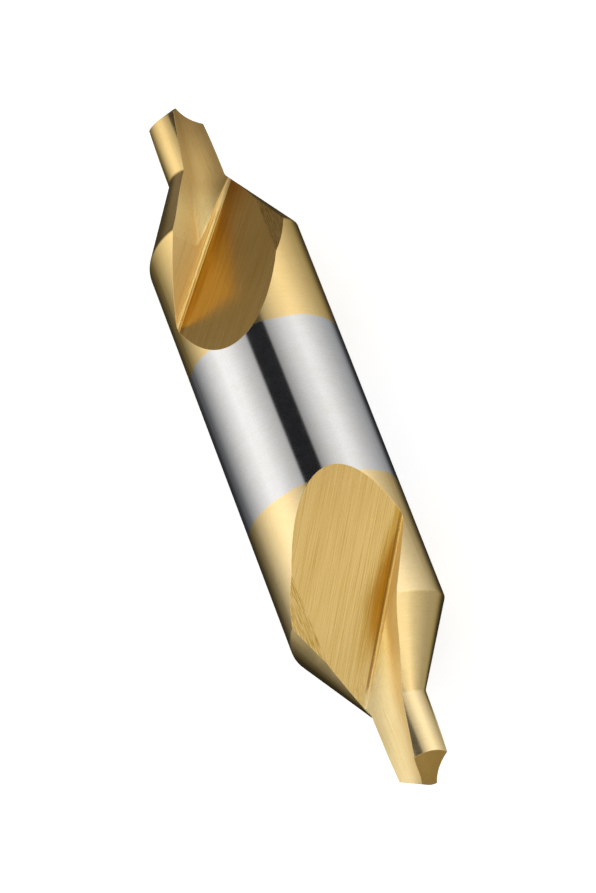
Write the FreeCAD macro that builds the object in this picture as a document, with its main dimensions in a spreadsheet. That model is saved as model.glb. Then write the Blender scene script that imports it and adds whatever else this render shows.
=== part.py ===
import FreeCAD, Part

import math
import os

import Sketcher

# Double-ended centre drill, form A, 5 x 12.5 x 63 mm, right-hand cutting, ground from one bar.
# The tool lies on its side. X runs along its axis, +Z is up, and the origin is on the surface
# that it lies on, under its middle. The end at +X is built first, about its own axis. The two
# lands and the two flutes of an end are half a turn apart about X, and the other end is the
# same end turned half a turn about Z. Angles in a section are measured from +Z towards +Y.

VEC = FreeCAD.Vector
ALONG_X = FreeCAD.Rotation(VEC(0, 1, 0), 90)
SECTION_PLANE = "create(<<rotation>>; create(<<vector>>; 1; 1; 1); 120)"
TOUCH = 1e-6

# Millimetres and degrees.
SIZES = [
    ("body_dia", 12.5, "diameter of the shank"),
    ("pilot_dia", 5.0, "diameter of the pilot at its cutting edges"),
    ("overall_length", 63.0, "length from chisel edge to chisel edge"),
    ("pilot_length", 6.85, "length of the pilot from its root to the chisel edge"),
    ("cone_angle", 60.0, "included angle of the countersinking cone"),
    ("cone_relief", 0.78, "shift of each cone land off the axis, which relieves its heel"),
    ("cone_relief_angle", 30.0, "turn of that shift in the section"),
    ("pilot_relief", 0.22, "shift of each pilot land off the axis"),
    ("root_radius", 0.45, "fillet between the pilot and the cone"),
    ("shoulder_radius", 0.4, "rounding between the cone and the shank"),
    ("flank_angle", 112.0, "included angle of the cones that the flanks are ground on"),
    ("flank_shift", 1.0, "shift of each flank cone off the axis, which gives the lip its clearance"),
    ("chisel_angle", 40.7, "turn of the chisel edge from the Y axis"),
    ("corner_y", 1.16, "corner of the body flute where the cone begins, across"),
    ("corner_z", 1.157, "corner of the body flute where the cone begins, up"),
    ("corner_skew_angle", 32.5, "angle in plan between that corner and the axis of the tool"),
    ("corner_fall_angle", 12.83, "angle in elevation at which that corner falls to the tip"),
    ("corner_radius", 0.45, "radius in that corner"),
    ("wall_lean_angle", 22.7, "lean of the body flute's wall"),
    ("wall_floor_angle", 95.3, "angle between the wall and the floor of the body flute"),
    ("web", 1.22, "thickness of the web between the two pilot flutes"),
    ("rake_offset", 0.28, "distance of the pilot's rake face past the axis"),
    ("hollow_radius", 2.5, "radius in the hollow of the pilot flute"),
    ("hollow_angle", 106.8, "angle between the two sides of the pilot flute"),
    ("root_twist_angle", 19.6, "lean of the rake face at the root of the pilot"),
    ("flute_lead", 92.0, "lead of the pilot flute's helix"),
    ("facet_lead", 6.78, "distance from the top of the heel facet forward to the cone"),
    ("facet_slope_angle", 22.9, "slope of the heel facet towards the axis"),
    ("facet_turn_angle", 9.8, "turn of the heel facet in the section, away from the flute's wall"),
    ("facet_length", 9.5, "length of the heel facet's cut along its slope"),
    ("overrun", 1.0, "how far a cutter runs past the metal"),
    ("start_lead", 1.2, "how far before the cone the pilot flute starts, along the body flute's wall"),
    ("start_inset", 0.02, "how far inside that wall it starts"),
    ("turn_lead", 0.5, "how far before the cone it begins to turn away from that wall"),
    ("turn_inset", 0.01, "how far inside that wall it still is there"),
    ("turned_past", 1.4, "how far past the cone's start it has turned"),
    ("start_lift", 0.20, "how far up the body flute's wall the pilot flute's corner starts"),
    ("start_radius", 0.9, "radius in the pilot flute's hollow where it starts"),
    ("start_angle", 84.0, "angle between the two sides of the pilot flute where it starts"),
]

# Values that follow from the sizes.
DERIVED = [
    ("body_radius", "=body_dia / 2"),
    ("pilot_radius", "=pilot_dia / 2"),
    ("half_length", "=overall_length / 2"),
    ("root_station", "=half_length - pilot_length"),
    ("cone_slope", "=tan(cone_angle * 1deg / 2)"),
    ("cone_start", "=root_station - (body_radius - pilot_radius) / cone_slope"),
    ("cone_base_radius", "=body_radius - cone_relief + cone_start * cone_slope"),
    ("cone_shift_y", "=cone_relief * sin(cone_relief_angle * 1deg)"),
    ("cone_shift_z", "=cone_relief * cos(cone_relief_angle * 1deg)"),
    ("flank_slope", "=tan(flank_angle * 1deg / 2)"),
    ("flank_height", "=half_length + flank_shift / flank_slope"),
    ("flank_shift_y", "=flank_shift * sin(chisel_angle * 1deg)"),
    ("flank_shift_z", "=flank_shift * cos(chisel_angle * 1deg)"),
    ("corner_dy", "=-tan(corner_skew_angle * 1deg)"),
    ("corner_dz", "=-tan(corner_fall_angle * 1deg)"),
    ("corner_stretch", "=sqrt(1 + corner_dy ^ 2 + corner_dz ^ 2)"),
    ("hub_y", "=rake_offset + hollow_radius"),
    ("hub_z", "=sqrt((web / 2 + hollow_radius) ^ 2 - hub_y ^ 2)"),
    ("hollow_drop", "=hollow_radius / tan(hollow_angle * 1deg / 2) - hub_z"),
    ("lean_cos", "=cos(wall_lean_angle * 1deg)"),
    ("lean_sin", "=sin(wall_lean_angle * 1deg)"),
    ("corner_across", "=corner_y * lean_cos - corner_z * lean_sin"),
    ("corner_up", "=corner_y * lean_sin + corner_z * lean_cos"),
    ("step_across", "=corner_dy * lean_cos - corner_dz * lean_sin"),
    ("step_up", "=corner_dy * lean_sin + corner_dz * lean_cos"),
    ("start_station", "=cone_start - start_lead"),
    ("start_across", "=corner_across - start_inset - start_lead * step_across"),
    ("start_up", "=corner_up + start_lift - start_lead * step_up"),
    ("turn_station", "=cone_start - turn_lead"),
    ("turn_across", "=corner_across - turn_inset - turn_lead * step_across"),
    ("turn_up", "=corner_up + start_lift - turn_lead * step_up"),
    ("turned_station", "=cone_start + turned_past"),
    ("turned_share", "=turned_past / (root_station - cone_start)"),
    ("turned_across", "=corner_across + turned_share * (-rake_offset - corner_across)"),
    ("turned_up", "=corner_up + start_lift + turned_share * (-hollow_drop - corner_up - start_lift)"),
    ("turned_radius", "=start_radius + turned_share * (hollow_radius - start_radius)"),
    ("turned_angle", "=start_angle + turned_share * (hollow_angle - start_angle)"),
    ("turned_lean_angle", "=wall_lean_angle + turned_share * (root_twist_angle - wall_lean_angle)"),
    ("tip_station", "=half_length + overrun"),
    ("tip_twist_angle", "=root_twist_angle - 360 * (tip_station - root_station) / flute_lead"),
    ("near_station", "=(2 * root_station + tip_station) / 3"),
    ("near_twist_angle", "=(2 * root_twist_angle + tip_twist_angle) / 3"),
    ("far_station", "=(root_station + 2 * tip_station) / 3"),
    ("far_twist_angle", "=(root_twist_angle + 2 * tip_twist_angle) / 3"),
    ("facet_station", "=cone_start - facet_lead"),
]


def make_sheet():
    """Write the driving sizes, then what follows from them, one row each."""
    sheet = doc.addObject("Spreadsheet::Sheet", "sizes")
    rows = [(name, str(value), note) for name, value, note in SIZES]
    rows += [(name, formula, name.replace("_", " ")) for name, formula in DERIVED]
    for row, (name, content, note) in enumerate(rows, start=1):
        sheet.set(f"A{row}", note)
        sheet.set(f"B{row}", content)
        sheet.setAlias(f"B{row}", name)
    doc.recompute()
    return sheet


def size(name):
    return float(sheet.get(name))


def bind(obj, **formulas):
    """Tie properties to cells; a double underscore in a name stands for a dot."""
    for prop, formula in formulas.items():
        obj.setExpression(prop.replace("__", "."), formula)


def group(kind, name, shapes):
    obj = doc.addObject(kind, name)
    obj.Shapes = shapes
    return obj


def half_turn(name, shapes, axis):
    """The same shapes again, turned half a turn about an axis through the tool's middle."""
    turned = doc.addObject("Part::Compound", name)
    turned.Links = shapes
    turned.Placement.Rotation = FreeCAD.Rotation(axis, 180)
    return turned


def round_bar(name, radius, length):
    bar = doc.addObject("Part::Cylinder", name)
    bar.Placement.Rotation = ALONG_X
    bind(bar, Radius=radius, Height=length)
    return bar


def pointed_cone(name, base_radius, height, shift_y, shift_z):
    cone = doc.addObject("Part::Cone", name)
    cone.Radius2 = 0
    cone.Placement.Rotation = ALONG_X
    bind(cone, Radius1=base_radius, Height=height)
    bind(cone, Placement__Base__y=shift_y, Placement__Base__z=shift_z)
    return cone


def make_blank():
    """One end before fluting: shank, relieved cone and pilot lands, and the ground point."""
    shank = round_bar("shank", "sizes.body_radius", "sizes.half_length")
    cones = []
    pilots = []
    flanks = []
    for side, sign in (("upper", ""), ("lower", "-")):
        cones.append(pointed_cone(
            f"{side}_cone_land", "sizes.cone_base_radius", "sizes.cone_base_radius / sizes.cone_slope",
            f"{sign}sizes.cone_shift_y", f"{sign}sizes.cone_shift_z"))
        pilot = round_bar(
            f"{side}_pilot_land", "sizes.pilot_radius - sizes.pilot_relief", "sizes.half_length")
        bind(pilot, Placement__Base__z=f"{sign}sizes.pilot_relief")
        pilots.append(pilot)
        flanks.append(pointed_cone(
            f"{side}_flank", "sizes.flank_height * sizes.flank_slope", "sizes.flank_height",
            f"{sign}sizes.flank_shift_y", f"{sign}sizes.flank_shift_z"))
    cone_lands = group("Part::MultiFuse", "cone_lands", cones)
    coned_shank = group("Part::MultiCommon", "coned_shank", [shank, cone_lands])
    stepped = group("Part::MultiFuse", "stepped_bar", [coned_shank] + pilots)
    return group("Part::MultiCommon", "blank", [stepped] + flanks)


def place_leaning(obj, station, lean, across, up, upright=SECTION_PLANE):
    """Place an object at a station, leaned about X, after a shift across and up in the section."""
    bind(obj, Placement=(
        f"create(<<placement>>; create(<<vector>>; {station}; 0; 0);"
        f" create(<<rotation>>; create(<<vector>>; 1; 0; 0); -({lean})))"
        f" * create(<<placement>>; create(<<vector>>; 0; {across}; {up}); {upright})"))


def flute_section(name, radius, opening):
    """Section of a flute: wall, rounded corner, floor, and a chord that passes outside the tool.

    The sharp corner of wall and floor is at the sketch's origin and the wall stands upright.
    """
    radius_now = size(radius)
    open_now = math.radians(size(opening))
    reach = size("body_dia")
    setback = radius_now / math.tan(open_now / 2)
    floor_way = VEC(-math.sin(open_now), math.cos(open_now), 0)
    wall_foot = VEC(0, setback, 0)
    wall_head = VEC(0, reach, 0)
    floor_end = floor_way * reach
    hollow_circle = Part.Circle(VEC(-radius_now, setback, 0), VEC(0, 0, 1), radius_now)

    sketch = doc.addObject("Sketcher::SketchObject", name)
    sketch.addGeometry(Part.LineSegment(wall_head, wall_foot))
    sketch.addGeometry(Part.ArcOfCircle(hollow_circle, open_now - math.pi, 0))
    sketch.addGeometry(Part.LineSegment(floor_way * setback, floor_end))
    sketch.addGeometry(Part.LineSegment(floor_end, wall_head))
    wall, hollow, floor, chord = range(4)
    origin = -1
    sketch.addConstraint([
        Sketcher.Constraint("Vertical", wall),
        Sketcher.Constraint("PointOnObject", origin, 1, wall),
        Sketcher.Constraint("PointOnObject", origin, 1, floor),
        Sketcher.Constraint("Tangent", wall, 2, hollow, 2),
        Sketcher.Constraint("Tangent", hollow, 1, floor, 1),
        Sketcher.Constraint("Coincident", floor, 2, chord, 1),
        Sketcher.Constraint("Coincident", chord, 2, wall, 1),
    ])
    driven = [
        (Sketcher.Constraint("Radius", hollow, radius_now), f"sizes.{radius}"),
        (Sketcher.Constraint("Distance", origin, 1, wall, 1, reach), "sizes.body_dia"),
        (Sketcher.Constraint("Distance", origin, 1, floor, 2, reach), "sizes.body_dia"),
        (Sketcher.Constraint("Angle", wall, 2, floor, 1, open_now), f"sizes.{opening} * 1deg"),
    ]
    for constraint, formula in driven:
        index = sketch.addConstraint(constraint)
        sketch.setExpression(f"Constraints[{index}]", formula)
    return sketch


def body_section():
    """Section of the body flute where the cone begins."""
    section = flute_section("body_section", "corner_radius", "wall_floor_angle")
    place_leaning(section, "sizes.cone_start", "sizes.wall_lean_angle",
                  "sizes.corner_across", "sizes.corner_up")
    return section


def wall_section(name):
    """Section of the pilot flute on the body flute's wall, with a corner higher up that wall."""
    section = flute_section(f"{name}_section", "start_radius", "start_angle")
    place_leaning(section, f"sizes.{name}_station", "sizes.wall_lean_angle",
                  f"sizes.{name}_across", f"sizes.{name}_up")
    return section


def turned_section():
    """Section past the cone's start, where the pilot flute has turned away from that wall."""
    section = flute_section("turned_section", "turned_radius", "turned_angle")
    place_leaning(section, "sizes.turned_station", "sizes.turned_lean_angle",
                  "sizes.turned_across", "sizes.turned_up")
    return section


def pilot_section(name):
    """Section of the pilot flute, the same along the pilot but for its twist."""
    section = flute_section(f"{name}_section", "hollow_radius", "hollow_angle")
    place_leaning(section, f"sizes.{name}_station", f"sizes.{name}_twist_angle",
                  "-sizes.rake_offset", "-sizes.hollow_drop")
    return section


def make_flutes():
    """The body flute runs straight along its corner, and the twisted pilot flute leaves it."""
    body_flute = doc.addObject("Part::Extrusion", "body_flute")
    body_flute.Base = body_section()
    body_flute.DirMode = "Custom"
    body_flute.Dir = VEC(1, size("corner_dy"), size("corner_dz"))
    body_flute.Solid = True
    bind(body_flute, Dir__y="sizes.corner_dy", Dir__z="sizes.corner_dz",
         LengthFwd="(sizes.root_station - sizes.cone_start) * sizes.corner_stretch",
         LengthRev="sizes.cone_start * sizes.corner_stretch")
    pilot_flute = doc.addObject("Part::Loft", "pilot_flute")
    pilot_flute.Sections = [wall_section("start"), wall_section("turn"), turned_section()]
    pilot_flute.Sections += [pilot_section(name) for name in ("root", "near", "far", "tip")]
    pilot_flute.Solid = True
    pilot_flute.Ruled = False
    return [body_flute, pilot_flute]


def make_facet():
    """Block whose lower face is the heel facet, from its middle line away from the wall."""
    facet = doc.addObject("Part::Box", "heel_facet")
    bind(facet, Length="sizes.facet_length", Width="sizes.body_dia", Height="sizes.body_radius")
    place_leaning(facet, "sizes.facet_station", "-sizes.facet_turn_angle",
                  "-sizes.body_dia", "sizes.body_radius",
                  "create(<<rotation>>; create(<<vector>>; 0; 1; 0); sizes.facet_slope_angle)")
    return facet


def cut_flutes(blank, cutters):
    """Cut both flutes and both heel facets of one end."""
    cutters = cutters + [half_turn("opposite_cutters", cutters, VEC(1, 0, 0))]
    fluted = doc.addObject("Part::Cut", "fluted_end")
    fluted.Base = blank
    fluted.Tool = group("Part::MultiFuse", "cutters", cutters)
    doc.recompute()
    return fluted


def edges_on_land(shape, radius, first, last):
    """Numbers of the edges between a cone and a cylinder of this radius, between two stations."""
    numbers = []
    for number, edge in enumerate(shape.Edges, start=1):
        surfaces = [face.Surface for face in shape.ancestorsOfType(edge, Part.Face)]
        bars = [surface for surface in surfaces if isinstance(surface, Part.Cylinder)]
        cones = [surface for surface in surfaces if isinstance(surface, Part.Cone)]
        if len(bars) == 1 and len(cones) == 1 and abs(bars[0].Radius - radius) < TOUCH:
            if first < edge.CenterOfMass.x < last:
                numbers.append(number)
    return numbers


def round_lands(fluted):
    """Round the shoulder between shank and cone, and the inside corner at the pilot's root."""
    rounded = doc.addObject("Part::Fillet", "rounded_end")
    rounded.Base = fluted
    pilot_land_radius = size("pilot_radius") - size("pilot_relief")
    point_station = size("half_length") - size("pilot_radius")
    shoulders = edges_on_land(fluted.Shape, size("body_radius"), 0, size("root_station"))
    roots = edges_on_land(fluted.Shape, pilot_land_radius, size("cone_start"), point_station)
    rounded.Edges = [(number, size("shoulder_radius"), size("shoulder_radius")) for number in shoulders]
    rounded.Edges += [(number, size("root_radius"), size("root_radius")) for number in roots]
    doc.recompute()
    return rounded


def check_model():
    """Stop if an object failed or the tool isn't one valid solid."""
    for obj in doc.Objects:
        if "Invalid" in obj.State or "Error" in obj.State:
            raise RuntimeError(f"{obj.Name} failed: {obj.State}")
    if drill.Shape.isNull() or not drill.Shape.isValid() or len(drill.Shape.Solids) != 1:
        raise RuntimeError("the drill isn't one valid solid")


doc = FreeCAD.newDocument("centre_drill")
sheet = make_sheet()
near_end = round_lands(cut_flutes(make_blank(), make_flutes() + [make_facet()]))
far_end = half_turn("far_end", [near_end], VEC(0, 0, 1))
drill = group("Part::MultiFuse", "drill", [near_end, far_end])
drill.Label = "centre_drill"
bind(drill, Placement__Base__z="sizes.body_radius")
doc.recompute()
check_model()

os.makedirs("parts", exist_ok=True)
drill.Shape.exportStep(f"parts/{drill.Label}.step")
box = drill.Shape.optimalBoundingBox()
print(f"{drill.Label}: {drill.Shape.Volume:.1f} mm3, {len(drill.Shape.Faces)} faces, "
      f"{box.XLength:.2f} x {box.YLength:.2f} x {box.ZLength:.2f} mm")
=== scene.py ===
import math
from types import SimpleNamespace

import bmesh
import bpy
from mathutils import Matrix, Vector

# A double-ended centre drill: a bare ground shank between two coated, fluted ends. It lies along
# X on a pale floor. Seen by the camera, the -X end is at the top and the +X end at the bottom.
#
# In a pair of bounds, an effect is nothing at the first value and full at the second. A row of
# four maps a noise or a place between its first two values to a level between its last two.

METRES_TO_MM = 1000.0
BODY_RADIUS_MM = 6.25
WHITE = (1.0, 1.0, 1.0, 1.0)

# Camera, metres.
LENS_MM = 192.7
SENSOR_MM = 36.0
CLIP_START = 0.01
CLIP_END = 20.0
CAMERA_PLACE = Vector((0.1673, 0.0087, 0.34025))
CAMERA_FORWARD = Vector((-0.4457, -0.0236, -0.8949))
CAMERA_UP = Vector((-0.8350, 0.3711, 0.4061))

# Pale floor under the tool and backdrop around it, metres.
STAGE_HALF = 3.0
STAGE_GREY = (0.60, 0.60, 0.60, 1.0)
STAGE_ROUGHNESS = 0.9
STAGE_SPECULAR = 0.1
STAGE_GLOW = 0.65
BACKDROP_RADIUS = 2.4
BACKDROP_GLOW = 1.0

# Light of the studio by its angle about the tool's axis, in degrees from straight up towards +Y.
# Two large soft boxes stand on either side of a dark gap above the tool.
STUDIO_LIGHT = [
    (-180, 0.02),
    (-148, 0.040),
    (-128, 0.19),
    (-108, 0.64),
    (-88, 1.14),
    (-66, 1.62),
    (-50, 1.55),
    (-28, 1.00),
    (-13.0, 0.72),
    (-10.5, 0.010),
    (18.5, 0.010),
    (21.0, 0.50),
    (44, 1.12),
    (64, 1.46),
    (74, 1.40),
    (94, 1.01),
    (113, 0.71),
    (133, 0.46),
    (147, 0.115),
    (153, 0.03),
    (180, 0.02),
]
# Below, X and Z are parts of the direction that the light comes from.
# The gap is open on part of the -X side. Elsewhere a soft light from above fills it.
GAP_OPENS_X = (-0.76, -0.68)
GAP_CLOSES_X = (-0.14, -0.22)
OVERHEAD_DEGREES = (34.0, 22.0)
OVERHEAD_LIGHT = 0.70
# A faint light is added towards -X. It shows in the gap.
GLIMMER_X = (-0.455, -0.475)
GLIMMER_LIGHT = 0.022
# Towards +X the boxes are darker low down, and a fill light stands on the +Y side.
FRONT_DEGREES = (62.0, 90.0)
FRONT_X = (-0.2, 0.1)
FRONT_CHANGE = -0.20
FILL_STARTS_DEGREES = (60.0, 90.0)
FILL_ENDS_DEGREES = (165.0, 140.0)
FILL_X = (-0.25, 0.0)
FILL_LIGHT = 0.50
# Towards -X the whole light is weaker.
BACK_X = (-0.53, -0.63)
BACK_CHANGE = -0.25
# Past the -X end of the boxes the light is graded, and past their +X end it is even.
FAR_END_X = (-0.74, -0.94)
FAR_END_Z = (0.52, 0.34)
FAR_END_LIGHT = 0.16
FAR_END_SLOPE_Y = -0.44
FAR_END_SLOPE_Z = 0.26
FAR_END_LEAST = 0.03
NEAR_END_X = (0.55, 0.82)
NEAR_END_Z = (0.20, 0.02)
NEAR_END_LIGHT = 0.23
# Light from below is a little bluer, and so is the dark of the gap.
LOW_DEGREES = (90.0, 130.0)
LOW_RED_CHANGE = -0.02
LOW_BLUE_CHANGE = 0.035
ADDED_GREEN = 0.001
ADDED_BLUE = 0.004

# Directions of the flute that faces up at the +X end: to its middle, out of its floor and its
# heel facet, and along and across the facet's grinding. The other flutes follow by half turns.
FLUTE_MIDDLE_Y = -0.42
FLUTE_MIDDLE_Z = 0.907
FLOOR_NORMAL = (0.3776, 0.2769, 0.8836)
FACET_NORMAL = (0.389, -0.157, 0.908)
FACET_GRIND = (0.919, 0.0, -0.394)
FACET_ACROSS = (0.062, 0.988, 0.144)
# The lands are ground round the axis, so the axis runs across their marks.
LAND_ACROSS = (1.0, 0.0, 0.0)

# Its corner between floor and wall is a straight line through one point, with slopes for each
# millimetre along X. It bends into the twist of the pilot flute.
CORNER_STATION_MM = 10.735
CORNER_Y_MM = 5.48
CORNER_Z_MM = 2.976
CORNER_SLOPE_Y = -0.637
CORNER_SLOPE_Z = -0.2276
BEND_MM = 23.0
BEND_SOFT_MM = 2.5
TWIST_PER_MM = -math.radians(360.0 / 92.0)

# How a ground face is told from the others: by cosines of angles, and by distances.
SAME_FACE = (0.9985, 0.9995)
FLANK_FACING = (0.72, 0.78)
LAND_OUTWARD = (0.76, 0.80)
LAND_RADIUS_MM = (1.85, 1.95)
CONE_FACING = (0.30, 0.42)
STRIP_WIDTH_MM = (0.50, 0.40)
STRIP_START_MM = (14.0, 15.0)

# Stretches along the tool where one tone passes into the next.
WALL_TO_HOLLOW_MM = (20.2, 23.8)
TIP_MM = (25.5, 31.0)
END_TO_END_MM = (-16.0, 16.0)

# Edge of the coat. A noise is given by its scale and its detail.
COAT_START_MM = 7.22
COAT_EDGE_MM = 0.10
WAVER_NOISE = (0.6, 1.0)
WAVER_MM = (0.3, 0.7, -0.06, 0.06)

# Colour of the steel, and of the coat on each face at the -X end and at the +X end. The coat is one
# gold: its lighter and darker copies by face and by end are painted light and shade.
STEEL_COLOUR = (0.553, 0.545, 0.530)
LAND_GOLD = ((0.685, 0.490, 0.200), (0.777, 0.605, 0.322))
CONE_GOLD = ((0.51, 0.355, 0.170), (0.75, 0.560, 0.250))
WALL_GOLD = ((0.90, 0.700, 0.312), (0.77, 0.575, 0.225))
HOLLOW_GOLD = ((0.58, 0.395, 0.150), (0.82, 0.650, 0.330))
FLOOR_GOLD = ((0.495, 0.292, 0.088), (0.855, 0.588, 0.205))
FACET_GOLD = ((0.475, 0.300, 0.108), (0.66, 0.460, 0.165))
# The flanks of the point are alike at both ends. The -X tip has two darker tones of its own, which
# are painted shade.
FLANK_GOLD = (0.56, 0.355, 0.097)
TIP_HOLLOW_SHADED_GOLD = (0.355, 0.225, 0.084)
TIP_LAND_SHADED_GOLD = (0.60, 0.430, 0.175)
# Tint of the reflections at a grazing angle.
STEEL_GRAZING = (1.0, 1.0, 1.0)
COAT_GRAZING = (1.0, 0.84, 0.50)

# Painted light: level of the wall by its distance from the corner, and of the floor by its place
# along, at the -X end and at the +X end.
WALL_PAINTED_LIGHT = (0.5, 2.6, 1.14, 0.92)
FLOOR_PAINTED_LIGHT = ((9.0, 22.0, 0.88, 1.07), (10.0, 24.0, 1.02, 0.86))

# Amber in the corner, ragged along the streaks: a painted reflection of the gold wall, with painted
# shade in the corner.
AMBER_PAINTED_REFLECTION = (0.78, 0.67, 0.36)
AMBER_WIDTH_MM = (11.0, 16.0, 0.55, 2.2)
AMBER_FULL_MM = 0.25
AMBER_END_MM = (22.0, 18.0)
AMBER_LEAN = (0.50, 0.80)
AMBER_RAGGED = (0.35, 0.65, -0.45, 0.45)
AMBER_RAGGED_MM = (0.3, 0.9)

# Painted light and shade on the narrow strip along the corner and at the start of the pilot flute.
# Each has a tint, the masks that hold it, and its bounds by the name of what is measured.
STRIP_NEAR = ("corner_distance", 0.75, 0.60)
STRIP_ENDS = ("along", 22.0, 20.0)
CORNER_PAINTED_LIGHT_AND_SHADE = [
    # Painted shade on the wall side of the strip at the -X end.
    ((0.72, 0.62, 0.46), ["minus_end"],
     [STRIP_NEAR, STRIP_ENDS, ("floor_lean", 0.02, 0.12), ("floor_lean", 0.60, 0.45)]),
    # Painted highlight lines on the strip at the -X end.
    ((1.08, 0.96, 0.80), ["minus_end", "off_floor"],
     [STRIP_NEAR, STRIP_ENDS, ("floor_lean", 0.45, 0.60)]),
    # Painted shade in a dark line between them.
    ((0.60, 0.52, 0.45), ["minus_end", "off_floor"],
     [STRIP_NEAR, STRIP_ENDS, ("floor_lean", 0.80, 0.88), ("floor_lean", 0.965, 0.93)]),
    # Painted shade at the start of the pilot flute at the -X end.
    ((0.76, 0.73, 0.70), ["minus_end", "off_land"],
     [("floor_lean", 0.15, 0.42), ("floor_lean", 0.90, 0.68), ("along", 15.5, 17.0),
      ("along", 23.0, 20.5), ("corner_distance", 0.85, 1.10)]),
    # Painted shade along the corner line at the +X end.
    ((0.55, 0.42, 0.30), ["plus_end", "off_floor"],
     [("floor_lean", 0.80, 0.90), ("corner_distance", 0.60, 0.35), ("along", 22.9, 22.1)]),
]

# Streaks of grinding: length over width, fineness, and the noise's detail and roughness.
FLUTE_STREAK = (90.0, 8.0, 4.0, 0.75)
FINE_STREAK = (70.0, 15.0, 3.0, 0.7)
BROAD_STREAK = (40.0, 1.3, 2.0, 0.6)
ROUND_STREAK = (26.0, 9.0, 3.0, 0.6)
FACET_STREAK = (14.0, 13.0, 3.0, 0.6)
MOTTLE_NOISE = (1.1, 3.0)
GRAIN_NOISE = (9.0, 3.0)

# Lightness that the marks add or take away, and how strongly red, green and blue follow it.
SCORE_SHADE = (0.55, 0.67, 0.0, -0.26)
BROAD_SHADE = (0.3, 0.7, -0.02, 0.03)
FINE_SHADE = (0.35, 0.65, -0.13, 0.13)
ROUND_SHADE = (0.3, 0.7, -0.018, 0.018)
MOTTLE_SHADE = (0.3, 0.7, -0.022, 0.022)
GRAIN_SHADE = (0.3, 0.7, -0.035, 0.035)
FACET_SHADE = (0.40, 0.62, 0.12, -0.38)
# The wall of a flute has a share of what its floor has.
WALL_SHADE_SHARE = 0.5
SHADE_BY_CHANNEL = (0.75, 1.0, 1.9)

# Relief of the marks and wear of the edges.
FINE_RELIEF = 0.5
ROUND_RELIEF = 0.4
FACET_RELIEF = 1.5
RELIEF_METRES = 0.000003
EDGE_WEAR_METRES = 0.00005
EDGE_WEAR_SAMPLES = 6

# Gloss.
STEEL_ROUGHNESS = 0.13
COAT_ROUGHNESS = 0.24
WALL_ROUGHNESS = 0.45
FLOOR_ROUGHNESS = 0.165
MOTTLE_ROUGHNESS = (0.3, 0.7, -0.012, 0.012)
ANISOTROPY = 0.75


def opaque(colour):
    """A colour of three numbers gets its fourth. A socket stays as it is."""
    return colour + (1.0,) if isinstance(colour, tuple) else colour


class Graph:
    """Adds nodes to a tree and links or sets what each is given."""

    def __init__(self, tree):
        self.tree = tree
        tree.nodes.clear()

    def add(self, kind, inputs=(), output=0, **settings):
        made = self.tree.nodes.new(kind)
        for name, value in settings.items():
            setattr(made, name, value)
        pairs = inputs.items() if isinstance(inputs, dict) else enumerate(inputs)
        for key, value in pairs:
            if isinstance(value, bpy.types.NodeSocket):
                self.tree.links.new(value, made.inputs[key])
            else:
                made.inputs[key].default_value = value
        return made.outputs[output]

    def end(self, kind, result):
        """Add the node that ends the tree."""
        made = self.tree.nodes.new(kind)
        self.tree.links.new(result, made.inputs[0])

    def math(self, operation, *values):
        return self.add("ShaderNodeMath", values, operation=operation)

    def product(self, first, *others):
        for other in others:
            first = self.math("MULTIPLY", first, other)
        return first

    def largest(self, first, *others):
        for other in others:
            first = self.math("MAXIMUM", first, other)
        return first

    def without(self, share):
        """The rest of a share."""
        return self.math("SUBTRACT", 1.0, share)

    def change(self, value, share, part):
        """A value that changes by a part of itself where a share is full."""
        return self.product(value, self.math("MULTIPLY_ADD", share, part, 1.0))

    def vector(self, operation, *values):
        output = 1 if operation in {"DOT_PRODUCT", "LENGTH"} else 0
        return self.add("ShaderNodeVectorMath", values, output, operation=operation)

    def scale(self, vector, factor):
        inputs = {0: vector, "Scale": factor}
        return self.add("ShaderNodeVectorMath", inputs, operation="SCALE")

    def split(self, vector):
        return tuple(self.add("ShaderNodeSeparateXYZ", (vector,)).node.outputs)

    def join(self, x, y, z):
        return self.add("ShaderNodeCombineXYZ", (x, y, z))

    def step(self, value, low, high):
        """Smooth rise from 0 at low to 1 at high."""
        inputs = (value, low, high, 0.0, 1.0)
        return self.add("ShaderNodeMapRange", inputs, interpolation_type="SMOOTHSTEP")

    def spread(self, value, low, high, start, end):
        """Straight line from start at low to end at high, level outside them."""
        return self.add("ShaderNodeMapRange", (value, low, high, start, end))

    def mix_value(self, factor, first, second):
        return self.add("ShaderNodeMix", {0: factor, 2: first, 3: second}, data_type="FLOAT")

    def mix_vector(self, factor, first, second):
        return self.add("ShaderNodeMix", {0: factor, 4: first, 5: second}, 1, data_type="VECTOR")

    def mix_colour(self, factor, first, second, blend="MIX"):
        inputs = {0: factor, 6: opaque(first), 7: opaque(second)}
        return self.add("ShaderNodeMix", inputs, 2, data_type="RGBA", blend_type=blend)

    def tint(self, factor, colour, tone):
        return self.mix_colour(factor, colour, tone, "MULTIPLY")

    def noise(self, vector, scale, detail, rough=0.5):
        inputs = {"Vector": vector, "Scale": scale, "Detail": detail, "Roughness": rough}
        return self.add("ShaderNodeTexNoise", inputs)

    def streaks(self, along, across, deep, length, fineness, detail, rough):
        """Noise drawn out along the first direction."""
        place = self.join(self.product(along, fineness / length),
                          self.product(across, fineness),
                          self.product(deep, fineness))
        return self.noise(place, 1.0, detail, rough)


def make_camera():
    data = bpy.data.cameras.new("photo_camera")
    data.lens = LENS_MM
    data.sensor_width = SENSOR_MM
    data.clip_start = CLIP_START
    data.clip_end = CLIP_END
    camera = bpy.data.objects.new("photo_camera", data)
    forward = CAMERA_FORWARD.normalized()
    right = forward.cross(CAMERA_UP).normalized()
    up = right.cross(forward)
    turn = Matrix((right, up, -forward)).transposed().to_4x4()
    camera.matrix_world = Matrix.Translation(CAMERA_PLACE) @ turn
    bpy.context.collection.objects.link(camera)
    bpy.context.scene.camera = camera


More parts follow.
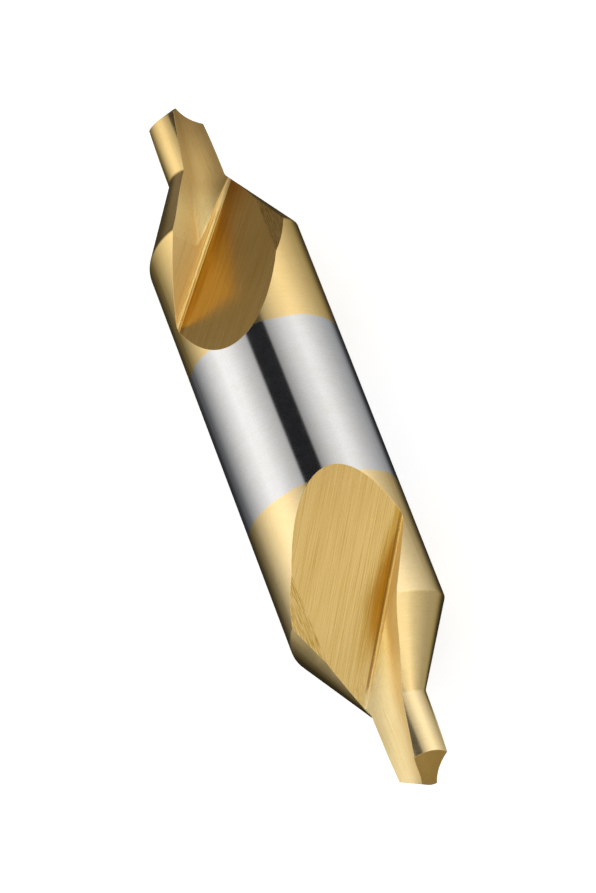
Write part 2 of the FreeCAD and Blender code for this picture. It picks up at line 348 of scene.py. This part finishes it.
def light_of_boxes(graph, turn, glimmer):
    """Light of the two soft boxes by the angle about the tool's axis."""
    place = graph.spread(turn, -math.pi, math.pi, 0.0, 1.0)
    level = graph.add("ShaderNodeValToRGB", (place,))
    stops = level.node.color_ramp.elements
    stops_at_first = len(stops)
    brightest = max(light for angle, light in STUDIO_LIGHT)
    for index, (angle, light) in enumerate(STUDIO_LIGHT):
        position = (angle + 180.0) / 360.0
        stop = stops[index] if index < stops_at_first else stops.new(position)
        stop.position = position
        share = light / brightest
        stop.color = (share, share, share, 1.0)
    return graph.math("MULTIPLY_ADD", level, brightest, glimmer)


def make_studio():
    """World light: two soft boxes along the tool, and less light past their ends."""
    world = bpy.data.worlds.new("studio")
    bpy.context.scene.world = world
    world.use_nodes = True
    graph = Graph(world.node_tree)
    x, y, z = graph.split(graph.add("ShaderNodeTexCoord", output="Generated"))
    turn = graph.math("ARCTAN2", y, z)
    off_top = graph.math("ABSOLUTE", turn)

    def by_angle(angle, bounds):
        low, high = bounds
        return graph.step(angle, math.radians(low), math.radians(high))

    glimmer = graph.product(graph.step(x, *GLIMMER_X), GLIMMER_LIGHT)
    light = light_of_boxes(graph, turn, glimmer)
    gap = graph.product(graph.step(x, *GAP_OPENS_X), graph.step(x, *GAP_CLOSES_X))
    above = graph.product(by_angle(off_top, OVERHEAD_DEGREES), graph.without(gap))
    light = graph.largest(light, graph.product(above, OVERHEAD_LIGHT))
    front = graph.product(by_angle(off_top, FRONT_DEGREES), graph.step(x, *FRONT_X))
    light = graph.change(light, front, FRONT_CHANGE)
    fill = graph.product(by_angle(turn, FILL_STARTS_DEGREES), by_angle(turn, FILL_ENDS_DEGREES),
                         graph.step(x, *FILL_X), FILL_LIGHT)
    light = graph.largest(light, fill)
    light = graph.change(light, graph.step(x, *BACK_X), BACK_CHANGE)

    far_light = graph.math("ADD", graph.math("MULTIPLY_ADD", y, FAR_END_SLOPE_Y, FAR_END_LIGHT),
                           graph.product(z, FAR_END_SLOPE_Z))
    far_light = graph.largest(far_light, FAR_END_LEAST)
    far_share = graph.product(graph.step(x, *FAR_END_X), graph.step(z, *FAR_END_Z))
    light = graph.mix_value(far_share, light, far_light)
    near_share = graph.product(graph.step(x, *NEAR_END_X), graph.step(z, *NEAR_END_Z))
    light = graph.mix_value(near_share, light, NEAR_END_LIGHT)

    low = by_angle(off_top, LOW_DEGREES)
    red = graph.change(light, low, LOW_RED_CHANGE)
    green = graph.math("ADD", light, ADDED_GREEN)
    blue = graph.math("ADD", graph.change(light, low, LOW_BLUE_CHANGE), ADDED_BLUE)
    background = graph.add("ShaderNodeBackground", (graph.join(red, green, blue), 1.0))
    graph.end("ShaderNodeOutputWorld", background)


def add_surface(name, mesh, material_name, shader_kind, inputs):
    """Put a mesh in the scene with a plain material. Reflections don't see it."""
    material = bpy.data.materials.new(material_name)
    material.use_nodes = True
    graph = Graph(material.node_tree)
    graph.end("ShaderNodeOutputMaterial", graph.add(shader_kind, inputs))
    mesh.materials.append(material)
    made = bpy.data.objects.new(name, mesh)
    bpy.context.collection.objects.link(made)
    made.visible_glossy = False
    return made


def make_floor():
    """Pale floor under the tool."""
    mesh = bpy.data.meshes.new("floor")
    corners = [(x * STAGE_HALF, y * STAGE_HALF, 0) for x, y in ((-1, -1), (1, -1), (1, 1), (-1, 1))]
    mesh.from_pydata(corners, [], [(0, 1, 2, 3)])
    floor = add_surface("floor", mesh, "pale_floor", "ShaderNodeBsdfPrincipled", {
        "Base Color": STAGE_GREY,
        "Roughness": STAGE_ROUGHNESS,
        "Specular IOR Level": STAGE_SPECULAR,
        "Emission Color": WHITE,
        "Emission Strength": STAGE_GLOW,
    })


def make_backdrop():
    """Pale wall far around the tool, which only the camera sees."""
    mesh = bpy.data.meshes.new("backdrop")
    ball = bmesh.new()
    bmesh.ops.create_uvsphere(ball, u_segments=48, v_segments=24, radius=BACKDROP_RADIUS)
    ball.to_mesh(mesh)
    ball.free()
    wall = add_surface("backdrop", mesh, "pale_backdrop", "ShaderNodeEmission", {
        "Color": WHITE,
        "Strength": BACKDROP_GLOW,
    })
    wall.visible_diffuse = False
    wall.visible_transmission = False
    wall.visible_shadow = False


def fold(graph, spot, x, y, z):
    """Turn a vector onto the flute that faces up at the +X end, or back, by the half turns."""
    return (graph.product(spot.end, x), graph.product(spot.end, spot.side, y),
            graph.product(spot.side, z))


def follow_corner(graph, spot):
    """Distance from the flute's corner line, and the way of the grinding beside it."""
    straight = graph.math("SMOOTH_MIN", spot.along, BEND_MM, BEND_SOFT_MM)
    travelled = graph.math("SUBTRACT", straight, CORNER_STATION_MM)
    line_y = graph.math("MULTIPLY_ADD", travelled, CORNER_SLOPE_Y, CORNER_Y_MM)
    line_z = graph.math("MULTIPLY_ADD", travelled, CORNER_SLOPE_Z, CORNER_Z_MM)
    past = graph.largest(graph.math("SUBTRACT", spot.along, BEND_MM), 0.0)
    turn = graph.product(past, TWIST_PER_MM)
    cosine = graph.math("COSINE", turn)
    sine = graph.math("SINE", turn)
    back_y = graph.math("SUBTRACT", graph.product(spot.across, cosine), graph.product(spot.up, sine))
    back_z = graph.math("ADD", graph.product(spot.across, sine), graph.product(spot.up, cosine))
    spot.offset_y = graph.math("SUBTRACT", back_y, line_y)
    spot.offset_z = graph.math("SUBTRACT", back_z, line_z)
    spot.corner_distance = graph.vector("LENGTH", graph.join(0.0, spot.offset_y, spot.offset_z))
    turned = graph.step(spot.along, BEND_MM - BEND_SOFT_MM, BEND_MM + BEND_SOFT_MM)
    spot.way_y = graph.mix_value(turned, CORNER_SLOPE_Y, graph.product(spot.up, TWIST_PER_MM))
    spot.way_z = graph.mix_value(turned, CORNER_SLOPE_Z, graph.product(spot.across, -TWIST_PER_MM))


def tell_faces(graph, spot):
    """Share of each ground face at a spot: 1 on the face and 0 off it."""
    spot.floor_lean = graph.vector("DOT_PRODUCT", spot.facing, FLOOR_NORMAL)
    spot.floor_face = graph.step(spot.floor_lean, *SAME_FACE)
    spot.off_floor = graph.without(spot.floor_face)
    facet_lean = graph.vector("DOT_PRODUCT", spot.facing, FACET_NORMAL)
    spot.facet_face = graph.step(facet_lean, *SAME_FACE)
    spot.flank_face = graph.step(graph.math("ABSOLUTE", spot.facing_x), *FLANK_FACING)
    spot.cut_face = graph.largest(spot.floor_face, spot.facet_face, spot.flank_face)

    radial = graph.join(0.0, spot.across, spot.up)
    spot.from_axis = graph.vector("LENGTH", radial)
    outward = graph.math("DIVIDE", graph.vector("DOT_PRODUCT", radial, spot.facing), spot.from_axis)
    strip = graph.product(graph.step(spot.corner_distance, *STRIP_WIDTH_MM),
                          graph.step(spot.along, *STRIP_START_MM))
    spot.land = graph.product(graph.step(outward, *LAND_OUTWARD),
                              graph.step(spot.from_axis, *LAND_RADIUS_MM),
                              graph.without(spot.cut_face), graph.without(strip))
    spot.off_land = graph.without(spot.land)


def find_bare_steel(graph, spot):
    """Share of bare steel: the shank's wall up to the edge of the coat, which wavers a little."""
    waver = graph.spread(graph.noise(spot.place, *WAVER_NOISE), *WAVER_MM)
    coated = graph.step(graph.math("ADD", spot.along, waver), COAT_START_MM - COAT_EDGE_MM,
                        COAT_START_MM + COAT_EDGE_MM)
    spot.bare = graph.product(spot.land, graph.without(coated))


def read_surface(graph):
    """What the material knows of each spot on the tool: its place, direction and ground face."""
    spot = SimpleNamespace()
    spot.normal = graph.add("ShaderNodeNewGeometry", output="True Normal")
    object_place = graph.add("ShaderNodeTexCoord", output="Object")
    spot.place = graph.vector("SUBTRACT", graph.scale(object_place, METRES_TO_MM),
                              (0.0, 0.0, BODY_RADIUS_MM))
    x, y, z = graph.split(spot.place)
    spot.plus_end = graph.spread(x, *END_TO_END_MM, 0.0, 1.0)
    spot.minus_end = graph.without(spot.plus_end)
    spot.end = graph.math("SIGN", x)
    towards_flute = graph.math("ADD", graph.product(spot.end, y, FLUTE_MIDDLE_Y),
                               graph.product(z, FLUTE_MIDDLE_Z))
    spot.side = graph.math("SIGN", towards_flute)
    spot.along, spot.across, spot.up = fold(graph, spot, x, y, z)
    spot.facing_x, facing_y, facing_z = fold(graph, spot, *graph.split(spot.normal))
    spot.facing = graph.join(spot.facing_x, facing_y, facing_z)
    follow_corner(graph, spot)
    tell_faces(graph, spot)
    find_bare_steel(graph, spot)
    return spot


def make_marks(graph, spot):
    """Streaks of the grinding on each kind of face, with a mottle and a grain over all."""
    around = graph.product(graph.math("ARCTAN2", spot.across, spot.up), BODY_RADIUS_MM)
    folded = graph.join(spot.along, spot.across, spot.up)
    facet_along = graph.vector("DOT_PRODUCT", folded, FACET_GRIND)
    facet_across = graph.vector("DOT_PRODUCT", folded, FACET_ACROSS)
    flute_place = (spot.along, spot.offset_y, spot.offset_z)
    return SimpleNamespace(
        flute=graph.streaks(*flute_place, *FLUTE_STREAK),
        fine=graph.streaks(*flute_place, *FINE_STREAK),
        broad=graph.streaks(*flute_place, *BROAD_STREAK),
        round=graph.streaks(around, spot.along, spot.from_axis, *ROUND_STREAK),
        facet=graph.streaks(facet_along, facet_across, 0.0, *FACET_STREAK),
        mottle=graph.noise(spot.place, *MOTTLE_NOISE),
        grain=graph.noise(spot.place, *GRAIN_NOISE))


def paint_corner_light_and_shade(graph, spot, marks, gold):
    """Painted reflection and shade: amber in the corner of each flute, and painted light and shade
    on the strip along it.
    """
    distance = spot.corner_distance
    ragged = graph.math("ADD", distance, graph.spread(marks.fine, *AMBER_RAGGED))
    ragged = graph.mix_value(graph.step(distance, *AMBER_RAGGED_MM), distance, ragged)
    width = graph.spread(spot.along, *AMBER_WIDTH_MM)
    leaning = graph.product(graph.step(spot.floor_lean, *AMBER_LEAN), spot.plus_end)
    # Painted reflection and shade near the corner.
    amber = graph.product(graph.step(ragged, width, AMBER_FULL_MM),
                          graph.step(spot.along, *AMBER_END_MM),
                          graph.largest(leaning, spot.floor_face), spot.off_land)
    gold = graph.tint(amber, gold, AMBER_PAINTED_REFLECTION)
    # Painted highlights and shade on the strip, and painted shade at the start of the pilot flute.
    for tone, masks, bounds in CORNER_PAINTED_LIGHT_AND_SHADE:
        shares = [getattr(spot, mask) for mask in masks]
        shares += [graph.step(getattr(spot, name), low, high) for name, low, high in bounds]
        gold = graph.tint(graph.product(*shares), gold, tone)
    return gold


def coat_colour_with_painted_light(graph, spot, marks):
    """Gold of each ground face, in lit and shaded copies of one coat: painted light and shade by
    face and from one end of the tool to the other.
    """
    # Painted shade: the hollow and the land are darker at the -X tip.
    at_tip = graph.product(graph.step(spot.along, *TIP_MM), spot.minus_end)

    wall = graph.mix_colour(spot.plus_end, *WALL_GOLD)
    # Painted light: the wall is lighter near the corner and darker away from it.
    wall = graph.scale(wall, graph.spread(spot.corner_distance, *WALL_PAINTED_LIGHT))
    hollow = graph.mix_colour(spot.plus_end, *HOLLOW_GOLD)
    hollow = graph.mix_colour(at_tip, hollow, TIP_HOLLOW_SHADED_GOLD)
    gold = graph.mix_colour(graph.step(spot.along, *WALL_TO_HOLLOW_MM), wall, hollow)

    land = graph.mix_colour(spot.plus_end, *LAND_GOLD)
    # Painted shade: the lands of the cone are a darker copy of the lands' gold.
    cone = graph.mix_colour(spot.plus_end, *CONE_GOLD)
    land = graph.mix_colour(graph.step(spot.facing_x, *CONE_FACING), land, cone)
    land = graph.mix_colour(at_tip, land, TIP_LAND_SHADED_GOLD)
    gold = graph.mix_colour(spot.land, gold, land)

    # Painted reflection and shade: the -X floor is a darker amber copy of the +X floor.
    floor = graph.mix_colour(spot.plus_end, *FLOOR_GOLD)
    # Painted light: the floor's brightness changes along the tool, differently at each end.
    levels = [graph.spread(spot.along, *level) for level in FLOOR_PAINTED_LIGHT]
    floor = graph.scale(floor, graph.mix_value(spot.plus_end, *levels))
    gold = graph.mix_colour(spot.cut_face, gold, floor)
    # Painted shade: the -X facet is a darker copy of the +X facet.
    gold = graph.mix_colour(spot.facet_face, gold, graph.mix_colour(spot.plus_end, *FACET_GOLD))
    gold = graph.mix_colour(spot.flank_face, gold, FLANK_GOLD)
    return paint_corner_light_and_shade(graph, spot, marks, gold)


def shade_of_marks(graph, spot, marks):
    """Factor for red, green and blue that the grinding marks leave in the colour."""
    flute = graph.math("ADD", graph.spread(marks.flute, *SCORE_SHADE),
                       graph.spread(marks.broad, *BROAD_SHADE))
    flute = graph.math("ADD", flute, graph.spread(marks.fine, *FINE_SHADE))
    flute = graph.product(flute, graph.mix_value(spot.floor_face, WALL_SHADE_SHARE, 1.0))
    land = graph.math("ADD", graph.spread(marks.round, *ROUND_SHADE),
                      graph.spread(marks.mottle, *MOTTLE_SHADE))
    shade = graph.mix_value(spot.land, flute, land)
    shade = graph.mix_value(spot.facet_face, shade, graph.spread(marks.facet, *FACET_SHADE))
    shade = graph.math("ADD", shade, graph.spread(marks.grain, *GRAIN_SHADE))
    return graph.join(*[graph.math("MULTIPLY_ADD", shade, gain, 1.0) for gain in SHADE_BY_CHANNEL])


def relief_of_marks(graph, spot, marks):
    """Normal with the fine relief of the grinding and slightly worn edges."""
    height = graph.math("ADD", marks.flute, graph.product(marks.fine, FINE_RELIEF))
    height = graph.mix_value(spot.land, height, graph.product(marks.round, ROUND_RELIEF))
    height = graph.mix_value(spot.facet_face, height, graph.product(marks.facet, FACET_RELIEF))
    worn = graph.add("ShaderNodeBevel", {"Radius": EDGE_WEAR_METRES}, samples=EDGE_WEAR_SAMPLES)
    return graph.add("ShaderNodeBump", {
        "Strength": 1.0,
        "Distance": RELIEF_METRES,
        "Height": height,
        "Normal": worn,
    })


def across_the_grinding(graph, spot):
    """Tangent of the stretched gloss, which runs across the grinding marks of each face."""
    flute_way = graph.join(*fold(graph, spot, 1.0, spot.way_y, spot.way_z))
    facet_way = graph.join(*fold(graph, spot, *FACET_GRIND))
    across_flute = graph.vector("CROSS_PRODUCT", spot.normal, flute_way)
    across_facet = graph.vector("CROSS_PRODUCT", spot.normal, facet_way)
    tangent = graph.mix_vector(spot.land, across_flute, LAND_ACROSS)
    return graph.mix_vector(spot.facet_face, tangent, across_facet)


def roughness_of_faces(graph, spot, marks):
    rough = graph.mix_value(spot.floor_face, WALL_ROUGHNESS, FLOOR_ROUGHNESS)
    rough = graph.mix_value(spot.land, rough, COAT_ROUGHNESS)
    rough = graph.mix_value(spot.bare, rough, STEEL_ROUGHNESS)
    return graph.math("ADD", rough, graph.spread(marks.mottle, *MOTTLE_ROUGHNESS))


def make_metal():
    """Ground steel with a gold coat from either side of the shank's middle to the tips."""
    material = bpy.data.materials.new("ground_and_coated_steel")
    material.use_nodes = True
    graph = Graph(material.node_tree)
    spot = read_surface(graph)
    marks = make_marks(graph, spot)
    colour = graph.mix_colour(spot.bare, coat_colour_with_painted_light(graph, spot, marks), STEEL_COLOUR)
    shader = graph.add("ShaderNodeBsdfPrincipled", {
        "Base Color": graph.vector("MULTIPLY", colour, shade_of_marks(graph, spot, marks)),
        "Metallic": 1.0,
        "Roughness": roughness_of_faces(graph, spot, marks),
        "Specular Tint": graph.mix_colour(spot.bare, COAT_GRAZING, STEEL_GRAZING),
        "Anisotropic": ANISOTROPY,
        "Normal": relief_of_marks(graph, spot, marks),
        "Tangent": across_the_grinding(graph, spot),
    })
    graph.end("ShaderNodeOutputMaterial", shader)
    return material


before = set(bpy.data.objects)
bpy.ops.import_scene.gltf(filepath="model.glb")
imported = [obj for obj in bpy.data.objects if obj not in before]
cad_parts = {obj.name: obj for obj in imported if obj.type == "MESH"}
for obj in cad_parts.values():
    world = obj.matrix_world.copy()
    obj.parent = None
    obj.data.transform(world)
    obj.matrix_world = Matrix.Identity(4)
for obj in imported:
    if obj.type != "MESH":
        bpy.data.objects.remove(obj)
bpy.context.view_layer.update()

bpy.context.scene.view_settings.view_transform = "Standard"
make_camera()
make_studio()
make_floor()
make_backdrop()
metal = make_metal()
drill = bpy.data.objects["centre_drill"]
for slot in drill.material_slots:
    slot.material = metal
